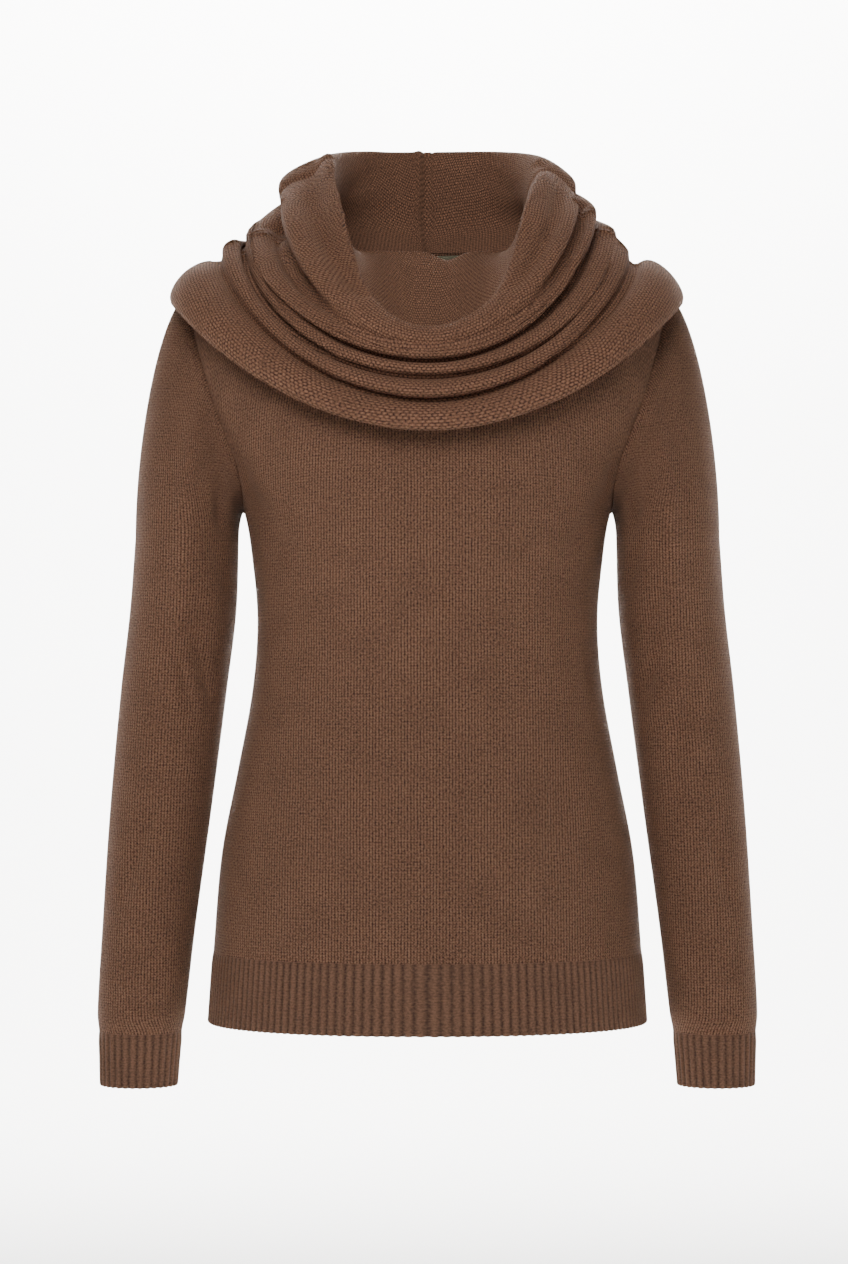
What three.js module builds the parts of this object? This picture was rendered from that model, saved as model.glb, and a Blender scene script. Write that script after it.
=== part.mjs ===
// A fine-knit long-sleeved sweater with a wide draped cowl collar, filled out and hollow as when worn.
// Millimetres, +Z up, the front faces -Y. The origin is the middle of the shoulder line.
// In the collar and the panels, left and right are as seen from the front: left is -X. The sleeves and
// cuffs are named after the wearer's arms: the right one is at -X.
import * as THREE from "three";

// Driving dimensions of the knit and its seams.
const CLOTH = 2;
const LABEL_CLOTH = 0.8;
const SEAM_GAP = 0.3;
const CROSS_GAP = 0.5;
const RIB_RAISE = 0.9;
const HEM_RIBS = 76;
const CUFF_RIBS = 32;

// Driving dimensions of the cut.
const HEM_EDGE = -591;
const HEM_TOP = -537;
const UNDERARM = -195;
const CUFF_EDGE = -639;
const CUFF_TOP = -598;
const BICEP = -215;
const SQUARENESS = 2.25;
const NECK_POINT = { side: 98, up: 18 };
const SHOULDER_POINT = { side: 184, up: -22 };
const NECKLINE_DROP = { front: 100, back: 3 };
const NECKLINE_ROUNDNESS = 1.3;
const SHOULDER_ROUNDING = { atNeck: 120, atTip: 45 };
const ARMHOLE_CENTRE_SIDE = 160;

// How finely each piece is divided.
const LOWER_ROWS = 7;
const UPPER_ROWS = 10;
const NECK_SPANS = 12;
const SHOULDER_SPANS = 3;
const SLEEVE_ROWS = 9;
const CAP_ROWS = 5;
const COLLAR_STEPS = 2;
const CUFF_MIDDLE = 0.6;
const LINE_STEPS = 240;

// The torso form: at each height, the half width and the reach of its front and back.
const TORSO = [
  { up: -591, side: 170.5, front: 112, back: 106 },
  { up: -535, side: 166.5, front: 112, back: 106 },
  { up: -460, side: 160, front: 110, back: 106 },
  { up: -395, side: 147.5, front: 106, back: 100 },
  { up: -335, side: 136.5, front: 102, back: 93 },
  { up: -285, side: 132.5, front: 102, back: 89 },
  { up: -240, side: 135.5, front: 108, back: 92 },
  { up: -195, side: 143, front: 114, back: 98 },
  { up: -141, side: 166, front: 109, back: 101 },
  { up: -114, side: 178, front: 105, back: 101 },
  { up: -82, side: 183, front: 98, back: 100 },
  { up: -40, side: 187, front: 84, back: 97 },
  { up: 20, side: 190, front: 62, back: 93 },
];

// The armhole seam, from the underarm up to the shoulder point, the same at front and back.
const ARMHOLE = [
  { along: 0, side: 143, up: -195 },
  { along: 1, side: 143.5, up: -178 },
  { along: 2, side: 147, up: -160 },
  { along: 3, side: 154, up: -141 },
  { along: 4, side: 164, up: -114 },
  { along: 5, side: 173, up: -86 },
  { along: 6, side: 181, up: -56 },
  { along: 7, side: 184, up: -22 },
];

// The sleeve's sections: the middle of each and its half width and half depth.
const SLEEVE = [
  { up: -639, side: 223.5, fore: 18, width: 29.5, depth: 25 },
  { up: -598, side: 222.5, fore: 15, width: 32, depth: 28 },
  { up: -584, side: 221.9, fore: 14, width: 34, depth: 32 },
  { up: -521, side: 216.8, fore: 9, width: 36, depth: 36 },
  { up: -428, side: 207.9, fore: 2, width: 39.4, depth: 41 },
  { up: -334, side: 198, fore: -4, width: 41.3, depth: 46 },
  { up: -272, side: 190.7, fore: -4, width: 41.5, depth: 51 },
  { up: -215, side: 187.4, fore: -1, width: 40.2, depth: 54 },
];

// The collar's ridges, creases and edges, in order from the neckline seam to the free edge.
// Each is a ring: how far it lies forward, to the left, to the right and back, and how high it is there.
// middle is how far back its sides lie; fall and rise are how late its front drops and its back climbs.
const COLLAR = {
  innerLayer: { front: 67, frontUp: -46, left: 87, leftUp: 25, right: 89, rightUp: 25,
    back: 84, backUp: 38, middle: 8, fall: 1.3, rise: 0.8 },
  innerEdge: { front: 49, frontUp: -6, left: 75, leftUp: 37, right: 79, rightUp: 35,
    back: 88, backUp: 63, middle: 13, fall: 0.5, rise: 0.7 },
  innerEdgeTurn: { front: 54, frontUp: -5, left: 72, leftUp: 45, right: 77, rightUp: 41,
    back: 90, backUp: 75, middle: 16, fall: 0.5, rise: 0.6 },
  trough: { front: 101, frontUp: -71, left: 72, leftUp: 64, right: 80, rightUp: 60,
    back: 93, backUp: 91, middle: 22, fall: 1.8, rise: 0.6 },
  firstRollTop: { front: 111, frontUp: -60, left: 79, leftUp: 81, right: 93, rightUp: 77,
    back: 99, backUp: 101, middle: 25, fall: 1.15, rise: 0.6 },
  firstRoll: { front: 120, frontUp: -70, left: 117, leftUp: 58, right: 117, rightUp: 58,
    back: 107, backUp: 92, middle: 24, fall: 1.3, rise: 0.6 },
  firstCrease: { front: 114, frontUp: -78, left: 115, leftUp: 30, right: 119, rightUp: 44,
    back: 107, backUp: 81, middle: 20, fall: 1.2, rise: 0.7 },
  secondRoll: { front: 121, frontUp: -81, left: 135, leftUp: 28, right: 132, rightUp: 44,
    back: 115, backUp: 71, middle: 18, fall: 1.2, rise: 1 },
  secondCrease: { front: 112, frontUp: -87, left: 132, leftUp: 18, right: 127, rightUp: 30,
    back: 111, backUp: 60, middle: 16, fall: 1.2, rise: 0.9 },
  thirdRoll: { front: 123, frontUp: -92, left: 142, leftUp: 20, right: 142, rightUp: 30,
    back: 120, backUp: 49, middle: 14, fall: 1.1, rise: 0.9 },
  thirdCrease: { front: 117, frontUp: -99, left: 141, leftUp: 11, right: 139, rightUp: 17,
    back: 116, backUp: 36, middle: 13, fall: 1.1, rise: 0.9 },
  fourthRoll: { front: 131, frontUp: -109, left: 153, leftUp: 19, right: 151, rightUp: 18,
    back: 124, backUp: 22, middle: 12, fall: 1.25, rise: 0.9 },
  fourthCrease: { front: 121, frontUp: -116, left: 163, leftUp: 5, right: 162, rightUp: 6,
    back: 118, backUp: 2, middle: 11, fall: 1.4, rise: 1 },
  fifthRoll: { front: 133, frontUp: -128, left: 189, leftUp: -6, right: 188, rightUp: -5,
    back: 128, backUp: -22, middle: 9, fall: 1.65, rise: 1.1 },
  freeEdge: { front: 130, frontUp: -139, left: 200, leftUp: -31, right: 199, rightUp: -31,
    back: 124, backUp: -50, middle: 8, fall: 1.8, rise: 1.2 },
  edgeTurnedUnder: { front: 123, frontUp: -136, left: 195, leftUp: -28, right: 194, rightUp: -28,
    back: 119, backUp: -47, middle: 8, fall: 1.8, rise: 1.2 },
};
const COLLAR_SQUARENESS = { front: 0.8, back: 0.7 };
const RESTING_FROM = 6;
const RESTING_GAP = 3.5;
const CLEARING_STEPS = 60;

// How a sleeve's cap bends over: how far its sides rise, and how far its top leans out and settles.
const CAP = { rise: 1.15, lean: 0.6, settle: 0.24, least: 0.4 };

// The blank label inside the back of the neck.
const LABEL = { halfWidth: 26, top: 13.5, bottom: -1, off: 3.9, spans: 6, rows: 2 };

const KNIT = new THREE.MeshStandardMaterial({ color: 0x6b4b3a, roughness: 0.95, metalness: 0 });
const TAPE = new THREE.MeshStandardMaterial({ color: 0x6f6b55, roughness: 0.8, metalness: 0 });

const vec = (x, y, z) => new THREE.Vector3(x, y, z);
const mix = (a, b, t) => a + (b - a) * t;
const steps = (count) => Array.from({ length: count + 1 }, (_, i) => i / count);
const power = (value, exponent) => Math.sign(value) * Math.abs(value) ** exponent;

// A smooth curve through one column of a table, by the position that another column gives.
function through(rows, at, column) {
  const slope = (i) => {
    const a = rows[Math.max(i - 1, 0)];
    const b = rows[Math.min(i + 1, rows.length - 1)];
    return (b[column] - a[column]) / (b[at] - a[at]);
  };
  return (t) => {
    let i = rows.findIndex((row) => row[at] > t) - 1;
    if (i < 0) i = t < rows[0][at] ? 0 : rows.length - 2;
    const [a, b] = [rows[i], rows[i + 1]];
    const span = b[at] - a[at];
    const f = (t - a[at]) / span;
    const rise = f * f * (3 - 2 * f);
    const lead = f * (1 - f) * (1 - f) * span * slope(i);
    const trail = f * f * (f - 1) * span * slope(i + 1);
    return mix(a[column], b[column], rise) + lead + trail;
  };
}

// Points evenly spaced along a curve, which is a function of 0 to 1.
function spaced(curve, spans) {
  const fine = steps(LINE_STEPS).map(curve);
  const run = [0];
  for (let i = 1; i < fine.length; i++) run.push(run[i - 1] + fine[i].distanceTo(fine[i - 1]));
  return steps(spans).map((share) => {
    const want = share * run[run.length - 1];
    const i = Math.min(Math.max(run.findIndex((r) => r >= want), 1), run.length - 1);
    const f = (want - run[i - 1]) / (run[i] - run[i - 1]);
    return fine[i - 1].clone().lerp(fine[i], f);
  });
}

// The direction out of the cloth at each point of a grid. The rows climb, and the columns run to the
// right as seen from outside.
function normalsOf(grid, closed) {
  const columns = grid[0].length;
  const rowAt = (j) => grid[Math.min(Math.max(j, 0), grid.length - 1)];
  const columnAt = (i) => (closed ? (i + columns) % columns : Math.min(Math.max(i, 0), columns - 1));
  return grid.map((row, j) =>
    row.map((_, i) => {
      const across = row[columnAt(i + 1)].clone().sub(row[columnAt(i - 1)]);
      const along = rowAt(j + 1)[i].clone().sub(rowAt(j - 1)[i]);
      return across.cross(along).normalize();
    }),
  );
}

// A closed wall between an outer and an inner grid of points.
function wall(outer, inner, closed) {
  const rows = outer.length;
  const columns = outer[0].length;
  const spans = closed ? columns : columns - 1;
  const out = (j, i) => j * columns + (i % columns);
  const back = (j, i) => rows * columns + out(j, i);
  const index = [];
  const quad = (a, b, c, d) => index.push(a, b, c, a, c, d);
  for (let i = 0; i < spans; i++) {
    for (let j = 0; j < rows - 1; j++) {
      quad(out(j, i), out(j, i + 1), out(j + 1, i + 1), out(j + 1, i));
      quad(back(j, i), back(j + 1, i), back(j + 1, i + 1), back(j, i + 1));
    }
    quad(out(0, i), back(0, i), back(0, i + 1), out(0, i + 1));
    quad(out(rows - 1, i), out(rows - 1, i + 1), back(rows - 1, i + 1), back(rows - 1, i));
  }
  for (let j = 0; j < rows - 1 && !closed; j++) {
    quad(out(j, 0), out(j + 1, 0), back(j + 1, 0), back(j, 0));
    quad(out(j, spans), back(j, spans), back(j + 1, spans), out(j + 1, spans));
  }
  const points = [...outer.flat(), ...inner.flat()].flatMap((p) => [p.x, p.y, p.z]);
  const geometry = new THREE.BufferGeometry();
  geometry.setAttribute("position", new THREE.Float32BufferAttribute(points, 3));
  geometry.setIndex(index);
  geometry.computeVertexNormals();
  return geometry;
}

// The inner grid of a wall: each outer point moved in by the cloth's thickness, or by a seam's own vector.
function movedIn(grid, closed, seamVector = () => null) {
  const normals = normalsOf(grid, closed);
  return grid.map((row, j) =>
    row.map((point, i) => point.clone().add(seamVector(j, i) ?? normals[j][i].multiplyScalar(-CLOTH))),
  );
}

// The torso form. facing is -1 for the front and 1 for the back.
const torsoSide = through(TORSO, "up", "side");
const torsoReach = { "-1": through(TORSO, "up", "front"), 1: through(TORSO, "up", "back") };

const shoulderSlope = (NECK_POINT.up - SHOULDER_POINT.up) / (SHOULDER_POINT.side - NECK_POINT.side);
const shoulderUp = (side) => NECK_POINT.up + (NECK_POINT.side - Math.abs(side)) * shoulderSlope;

// How far the form's surface lies in front of or behind the side seams, at a place seen from the front.
function torsoDepth(facing, x, up) {
  const across = Math.min(Math.abs(x) / torsoSide(up), 1);
  const round = (1 - across ** SQUARENESS) ** (1 / SQUARENESS);
  const toTip = (Math.abs(x) - NECK_POINT.side) / (SHOULDER_POINT.side - NECK_POINT.side);
  const rounding = mix(SHOULDER_ROUNDING.atNeck, SHOULDER_ROUNDING.atTip, Math.min(Math.max(toTip, 0), 1));
  const below = Math.min(Math.max((shoulderUp(x) - up) / rounding, 0), 1);
  return torsoReach[facing](up) * round * Math.sqrt(1 - (1 - below) ** 2);
}

// A point beside the torso form, moved out or up, whichever is the shorter way, until it clears the form.
function clearOfTorso(point, gap) {
  const facing = Math.sign(point.y) || 1;
  const out = torsoDepth(facing, point.x, point.z) + gap;
  if (Math.abs(point.y) >= out) return point;
  const [low, high] = [point.z, Math.max(shoulderUp(point.x), point.z)];
  const free = steps(CLEARING_STEPS).map((t) => mix(low, high, t));
  const up = gap + (free.find((z) => torsoDepth(facing, point.x, z) < Math.abs(point.y)) ?? high);
  return up - low < out - Math.abs(point.y) ? point.setZ(up) : point.setY(facing * out);
}

// Half of the torso's section at one height, from side seam to side seam, to the right as seen from outside.
function halfRing(facing, up, spans) {
  const curve = (t) => {
    const angle = (t - 0.5) * Math.PI;
    const x = torsoSide(up) * power(Math.sin(angle), 2 / SQUARENESS);
    const y = torsoReach[facing](up) * power(Math.cos(angle), 2 / SQUARENESS);
    return vec(-facing * x, facing * y, up);
  };
  return spaced(curve, spans);
}

const armholeSide = through(ARMHOLE, "along", "side");
const armholeUp = through(ARMHOLE, "along", "up");

// The armhole seam on one side of the body, from underarm to shoulder point. side is -1 or 1.
function armhole(facing, side) {
  const curve = (t) => {
    const along = t * (ARMHOLE.length - 1);
    const [x, up] = [armholeSide(along), armholeUp(along)];
    return vec(side * x, facing * torsoDepth(facing, x, up), up);
  };
  return spaced(curve, UPPER_ROWS);
}

// The neckline from one neck point to the other, to the right as seen from outside.
function neckline(facing) {
  const drop = facing < 0 ? NECKLINE_DROP.front : NECKLINE_DROP.back;
  const curve = (t) => {
    const angle = (t - 0.5) * Math.PI;
    const x = -facing * NECK_POINT.side * Math.sin(angle);
    const up = NECK_POINT.up - drop * Math.cos(angle) ** NECKLINE_ROUNDNESS;
    return vec(x, facing * torsoDepth(facing, x, up), up);
  };
  return spaced(curve, NECK_SPANS);
}

// A panel's top: shoulder seam, neckline, shoulder seam.
function panelTop(facing) {
  const seam = (right) =>
    steps(SHOULDER_SPANS).map((t) => {
      const x = mix(SHOULDER_POINT.side, NECK_POINT.side, right ? 1 - t : t);
      return vec((right ? -facing : facing) * x, 0, shoulderUp(x));
    });
  return [...seam(false), ...neckline(facing).slice(1, -1), ...seam(true)];
}

// The chest above the underarm: the outline seen from the front fills a patch, and the form gives its depth.
function upperRows(facing) {
  const top = panelTop(facing);
  const spans = top.length - 1;
  const chest = halfRing(facing, UNDERARM, spans);
  const [left, right] = [armhole(facing, facing), armhole(facing, -facing)];
  return steps(UPPER_ROWS).map((_, j) => {
    const v = (left[j].z - left[0].z) / (left[UPPER_ROWS].z - left[0].z);
    return chest.map((low, i) => {
      const u = i / spans;
      const blend = (axis) =>
        mix(low[axis], top[i][axis], v) +
        mix(left[j][axis], right[j][axis], u) -
        mix(mix(chest[0][axis], chest[spans][axis], u), mix(top[0][axis], top[spans][axis], u), v);
      const [x, up] = [blend("x"), blend("z")];
      return vec(x, facing * torsoDepth(facing, x, up), up);
    });
  });
}

// The way from a loop of the garment's openings into the hollow, square to the loop.
function intoLoop(point, next, previous, centre, length) {
  const along = next.clone().sub(previous).normalize();
  const inward = centre.clone().sub(point);
  return inward.addScaledVector(along, -inward.dot(along)).normalize().multiplyScalar(length);
}

const armholeCentre = (side) => vec(side * ARMHOLE_CENTRE_SIDE, 0, (UNDERARM + SHOULDER_POINT.up) / 2);

// The vectors along which the armhole's cut edge runs through the cloth, one for each seam point.
function armholeVectors(facing, side) {
  const seam = armhole(facing, side);
  const mirrored = (p) => vec(p.x, -p.y, p.z);
  return seam.map((point, j) => {
    const previous = j > 0 ? seam[j - 1] : mirrored(seam[1]);
    const next = j < UPPER_ROWS ? seam[j + 1] : mirrored(seam[UPPER_ROWS - 1]);
    return intoLoop(point, next, previous, armholeCentre(side), CLOTH);
  });
}

// The neckline's cut edge leans into the neck, and also down where the shoulder lies flat.
const neckVector = (point) => vec(-point.x, -point.y, -Math.abs(point.x)).normalize().multiplyScalar(CLOTH);

// The way in which the collar leaves the neckline: up, and inward at the sides of the neck.
function neckWay(point) {
  const inward = vec(-point.x, -point.y, 0).normalize();
  return inward.multiplyScalar(Math.abs(point.x) / NECK_POINT.side).add(vec(0, 0, 1)).normalize();
}

// The front or the back panel, with its seam edges set back from the seams.
function panel(facing) {
  const columns = NECK_SPANS + 2 * SHOULDER_SPANS;
  const heights = steps(LOWER_ROWS).map((t) => mix(HEM_TOP + SEAM_GAP / 2, UNDERARM, t));
  const lower = heights.slice(0, -1).map((up) => halfRing(facing, up, columns));
  const outer = [...lower, ...upperRows(facing)];
  const top = outer.length - 1;
  const cut = { 0: armholeVectors(facing, facing), [columns]: armholeVectors(facing, -facing) };
  const seamVector = (j, i) => {
    const point = outer[j][i];
    const side = i === 0 || i === columns;
    if (side && j >= LOWER_ROWS) return cut[i][j - LOWER_ROWS].clone();
    if (side) return vec(-Math.sign(point.x) * CLOTH, 0, 0);
    if (j < top) return null;
    const onShoulder = i < SHOULDER_SPANS || i > columns - SHOULDER_SPANS;
    return onShoulder ? vec(0, 0, -CLOTH) : neckVector(point);
  };
  const inner = movedIn(outer, false, seamVector);
  setBackFromSeams(outer, facing);
  setBackFromSeams(inner, facing);
  return wall(outer, inner, false);
}

// A panel's grid, moved half a gap away from its side seams, armholes, shoulder seams and hem.
function setBackFromSeams(grid, facing) {
  const last = grid[0].length - 1;
  const top = grid.length - 1;
  for (const [j, row] of grid.entries()) {
    for (const i of [0, last]) {
      row[i].y += facing * (SEAM_GAP / 2);
      if (j >= LOWER_ROWS) row[i].x -= Math.sign(row[i].x) * (CROSS_GAP / 2);
    }
  }
  for (const point of grid[0]) point.z = HEM_TOP + SEAM_GAP / 2;
  for (const point of grid[top]) {
    if (Math.abs(point.y) < CLOTH) point.y += facing * (SEAM_GAP / 2);
  }
}

// A ribbed wall between two heights: each rib is raised in the outer points over a plain inside.
function ribbed(ringAt, heights, closed) {
  const plain = heights.map(ringAt);
  const normals = normalsOf(plain, closed);
  const moved = (distance) =>
    plain.map((row, j) =>
      row.map((point, i) => {
        const level = vec(normals[j][i].x, normals[j][i].y, 0).normalize();
        return point.clone().addScaledVector(level, distance(i));
      }),
    );
  return { outer: moved((i) => (i % 2 ? RIB_RAISE : 0)), inner: moved(() => -CLOTH) };
}

// The hem rib of the front or the back.
function hemRib(facing) {
  const spans = 2 * HEM_RIBS;
  const heights = [HEM_EDGE, HEM_TOP - SEAM_GAP / 2];
  const { outer, inner } = ribbed((up) => halfRing(facing, up, spans), heights, false);
  for (const row of [...outer, ...inner]) {
    for (const i of [0, spans]) row[i].y = facing * (SEAM_GAP / 2);
  }
  return wall(outer, inner, false);
}

const sleeveSide = through(SLEEVE, "up", "side");
const sleeveFore = through(SLEEVE, "up", "fore");
const sleeveWidth = through(SLEEVE, "up", "width");
const sleeveDepth = through(SLEEVE, "up", "depth");

// A sleeve's level section, from the side next to the body and round by the back on the right arm.
function sleeveRing(side, up, spans) {
  return Array.from({ length: spans }, (_, i) => {
    const angle = (2 * Math.PI * i) / spans;
    const inward = Math.cos(angle) * sleeveWidth(up);
    const forward = Math.sin(angle) * sleeveDepth(up);
    return vec(side * (sleeveSide(up) - inward), -side * forward - sleeveFore(up), up);
  });
}

// The armhole as one loop, from the underarm round to the underarm, in step with the sleeve's sections.
function armholeLoop(side, pick) {
  const first = pick(-side, side);
  const second = pick(side, side).toReversed();
  return [...first, ...second.slice(1, -1)];
}

// One sleeve: level sections up to the upper arm, and a cap that bends over to the armhole.
function sleeve(side) {
  const spans = 2 * UPPER_ROWS;
  const bottom = CUFF_TOP + SEAM_GAP / 2;
  const tube = steps(SLEEVE_ROWS).map((t) => sleeveRing(side, mix(bottom, BICEP, t), spans));
  const rim = tube[SLEEVE_ROWS];
  const seam = armholeLoop(side, armhole);
  const cap = steps(CAP_ROWS).slice(1).map((t) =>
    rim.map((low, i) => {
      const high = seam[i];
      const reach = low.distanceTo(high);
      const over = (side * (low.x - high.x)) / reach;
      const rise = vec(0, 0, reach * CAP.rise).multiplyScalar(t * (1 - t) ** 2);
      const bend = vec(-side * reach * CAP.lean, 0, reach * CAP.settle);
      bend.multiplyScalar((CAP.least + Math.max(over, 0)) * t * t * (t - 1));
      return low.clone().lerp(high, t * t * (3 - 2 * t)).add(rise).add(bend);
    }),
  );
  const outer = [...tube, ...cap];
  const top = outer.length - 1;
  const cut = armholeLoop(side, armholeVectors);
  const inner = movedIn(outer, true, (j, i) => (j === top ? cut[i].clone() : null));
  for (const grid of [outer, inner]) {
    for (const point of grid[top]) point.x += side * (CROSS_GAP / 2);
    for (const point of grid[0]) point.z = bottom;
  }
  return wall(outer, inner, true);
}

// The ribbed cuff under a sleeve.
function cuff(side) {
  const heights = [CUFF_EDGE, mix(CUFF_EDGE, CUFF_TOP, CUFF_MIDDLE), CUFF_TOP - SEAM_GAP / 2];
  const { outer, inner } = ribbed((up) => sleeveRing(side, up, 2 * CUFF_RIBS), heights, true);
  return wall(outer, inner, true);
}

// A point of one of the collar's rings. turn is 0 at the front and grows to the left.
function collarPoint(ring, turn) {
  const [s, c] = [Math.sin(turn), Math.cos(turn)];
  const [side, sideUp] = s > 0 ? [ring.left, ring.leftUp] : [ring.right, ring.rightUp];
  const reach = c > 0 ? ring.front + ring.middle : ring.back - ring.middle;
  const frontUp = mix(sideUp, ring.frontUp, Math.max(c, 0) ** ring.fall);
  const backUp = mix(sideUp, ring.backUp, Math.max(-c, 0) ** ring.rise);
  const x = -side * (c > 0 ? s : power(s, COLLAR_SQUARENESS.back));
  const y = ring.middle - reach * (c > 0 ? c ** COLLAR_SQUARENESS.front : c);
  return vec(x, y, c > 0 ? frontUp : backUp);
}

// The neckline as one loop, clockwise from the front as seen from above. Between each two of the
// panels' own points there is one more.
function neckLoop() {
  const front = neckline(-1).toReversed();
  const back = neckline(1).toReversed();
  const half = NECK_SPANS / 2;
  const corners = [...front.slice(half, -1), ...back.slice(0, -1), ...front.slice(0, half)];
  return corners.flatMap((point, i) => [point, point.clone().lerp(corners[(i + 1) % corners.length], 0.5)]);
}

// The collar: one wide tube of knit, up from the neckline, over its top and down in draped rolls.
function collar() {
  const seam = neckLoop();
  const columns = seam.length;
  const start = seam.map((p) => p.clone().add(neckVector(p)).addScaledVector(neckWay(p), CROSS_GAP));
  const turns = seam.map((_, i) => (2 * Math.PI * i) / columns);
  const rings = [start, ...Object.values(COLLAR).map((ring) => turns.map((turn) => collarPoint(ring, turn)))];
  const outer = steps((rings.length - 1) * COLLAR_STEPS).map((share) =>
    seam.map((_, i) => {
      const stations = rings.map((ring, k) => ({ k, x: ring[i].x, y: ring[i].y, z: ring[i].z }));
      const at = share * (rings.length - 1);
      return vec(...["x", "y", "z"].map((axis) => through(stations, "k", axis)(at)));
    }),
  );
  const inner = movedIn(outer, true, (j, i) => (j === 0 ? neckVector(seam[i]).negate() : null));
  for (let j = RESTING_FROM * COLLAR_STEPS; j < outer.length; j++) {
    for (const point of outer[j]) clearOfTorso(point, CLOTH + RESTING_GAP);
    for (const point of inner[j]) clearOfTorso(point, RESTING_GAP);
  }
  return wall(outer, inner, true);
}

// The blank label, which hangs inside the back of the neck.
function label() {
  const rows = (off) =>
    steps(LABEL.rows).map((share) =>
      steps(LABEL.spans).map((t) => {
        const x = mix(-LABEL.halfWidth, LABEL.halfWidth, t);
        const up = mix(LABEL.bottom, LABEL.top, share);
        return vec(x, torsoDepth(1, x, up) - off, up);
      }),
    );
  return wall(rows(LABEL.off + LABEL_CLOTH), rows(LABEL.off), false);
}

function piece(name, geometry, material) {
  const mesh = new THREE.Mesh(geometry, material);
  mesh.name = name;
  return mesh;
}

const sweater = new THREE.Group();
sweater.add(
  piece("front_panel", panel(-1), KNIT),
  piece("back_panel", panel(1), KNIT),
  piece("front_hem_rib", hemRib(-1), KNIT),
  piece("back_hem_rib", hemRib(1), KNIT),
  piece("right_sleeve", sleeve(-1), KNIT),
  piece("left_sleeve", sleeve(1), KNIT),
  piece("right_cuff", cuff(-1), KNIT),
  piece("left_cuff", cuff(1), KNIT),
  piece("cowl_collar", collar(), KNIT),
  piece("neck_label", label(), TAPE),
);

export default sweater;
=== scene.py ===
# %% [markdown]
# # A fine-knit sweater with a draped cowl collar
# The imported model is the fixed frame: its pieces say where everything is. Each knitted piece is made
# again here as a finer surface with its rolls, creases, ribs and stitches, and stands for the frame's
# plain piece. Everything is in metres, with +Z up and the front towards -Y.

# %% Load the frame
import math
from math import pi

import bpy
import numpy as np
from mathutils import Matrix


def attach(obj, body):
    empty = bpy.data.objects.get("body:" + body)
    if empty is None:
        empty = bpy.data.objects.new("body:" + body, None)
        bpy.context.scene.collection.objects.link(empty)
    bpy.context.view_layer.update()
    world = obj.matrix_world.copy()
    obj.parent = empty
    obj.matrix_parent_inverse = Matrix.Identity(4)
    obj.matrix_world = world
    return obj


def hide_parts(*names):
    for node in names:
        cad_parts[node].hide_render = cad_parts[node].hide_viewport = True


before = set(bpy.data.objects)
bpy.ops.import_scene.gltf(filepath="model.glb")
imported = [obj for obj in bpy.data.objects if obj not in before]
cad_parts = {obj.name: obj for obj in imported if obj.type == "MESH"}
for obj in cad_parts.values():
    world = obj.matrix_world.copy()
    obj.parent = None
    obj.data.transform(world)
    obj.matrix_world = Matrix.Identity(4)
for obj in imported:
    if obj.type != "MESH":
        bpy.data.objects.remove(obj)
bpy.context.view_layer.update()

MM = 0.001
print("frame nodes:", sorted(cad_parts))

# %% [markdown]
# ## Camera
# The picture was taken level with the middle of the garment, from far enough away that the hem only
# curves a little. The lens follows from that distance and from the height that the picture takes in.

# %% Camera
PICTURE_HEIGHT = 985.9 * MM
CAMERA_AWAY = 2600 * MM
CAMERA_SIDE = -2.7 * MM
CAMERA_UP = -288.6 * MM
SENSOR_MM = 36

camera_data = bpy.data.cameras.new("camera")
camera_data.sensor_width = SENSOR_MM
camera_data.lens = SENSOR_MM * CAMERA_AWAY / PICTURE_HEIGHT
camera = bpy.data.objects.new("camera", camera_data)
camera.location = (CAMERA_SIDE, -CAMERA_AWAY, CAMERA_UP)
camera.rotation_euler = (pi / 2, 0, 0)
bpy.context.scene.collection.objects.link(camera)
bpy.context.scene.camera = camera
print("lens in mm:", round(camera_data.lens, 1))

# %% [markdown]
# ## Smooth curves
# A pattern cutter works from a few measured heights. Here a table has a row for each height and a
# smooth curve runs through each of its columns, so a handful of sizes gives the whole form.

# %% Smooth curves
def table(names, rows):
    """A table as one array for each named column."""
    return dict(zip(names.split(), np.array(rows, dtype=float).T))


def smooth(rows, key, value, at):
    """A cubic through a table's column. Its slope at a row is that of the line between the two rows
    beside it."""
    x, y = rows[key], rows[value]
    slope = np.empty_like(y)
    slope[1:-1] = (y[2:] - y[:-2]) / (x[2:] - x[:-2])
    slope[0] = (y[1] - y[0]) / (x[1] - x[0])
    slope[-1] = (y[-1] - y[-2]) / (x[-1] - x[-2])
    i = np.clip(np.searchsorted(x, at, side="right") - 1, 0, len(x) - 2)
    span = x[i + 1] - x[i]
    f = (at - x[i]) / span
    rise = f * f * (3 - 2 * f)
    lead = f * (1 - f) ** 2 * span * slope[i]
    trail = f * f * (f - 1) * span * slope[i + 1]
    return y[i] + (y[i + 1] - y[i]) * rise + lead + trail


def mix(a, b, t):
    """From a at t = 0 to b at t = 1."""
    return a + (b - a) * t


def power(value, exponent):
    """A power that keeps the sign."""
    return np.sign(value) * np.abs(value) ** exponent


def size_of(arrows):
    """The length of each arrow in an array."""
    return np.linalg.norm(arrows, axis=-1, keepdims=True)


def even(points, count):
    """The same line with evenly spaced points: each is found by its share of the line's length."""
    run = np.concatenate([[0], np.cumsum(np.linalg.norm(np.diff(points, axis=0), axis=1))])
    want = np.linspace(0, run[-1], count)
    return np.stack([np.interp(want, run, points[:, axis]) for axis in range(3)], axis=1)


print("a cubic through 0, 1, 4 at 0.5:", smooth(table("x y", [(0, 0), (1, 1), (2, 4)]), "x", "y", 0.5))

# %% [markdown]
# ## Tables
# The sizes are those of the frame, in millimetres. The torso has its half width and its reach to the
# front and back at each height, the armhole its outline seen from the front, and the sleeve its
# middle, half width and half depth. The collar has a row for each ridge and crease, from the neck
# outwards: how far and how high it lies at the front, the left and right of the picture and the back,
# where its middle is, and how it falls away between them.

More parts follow.
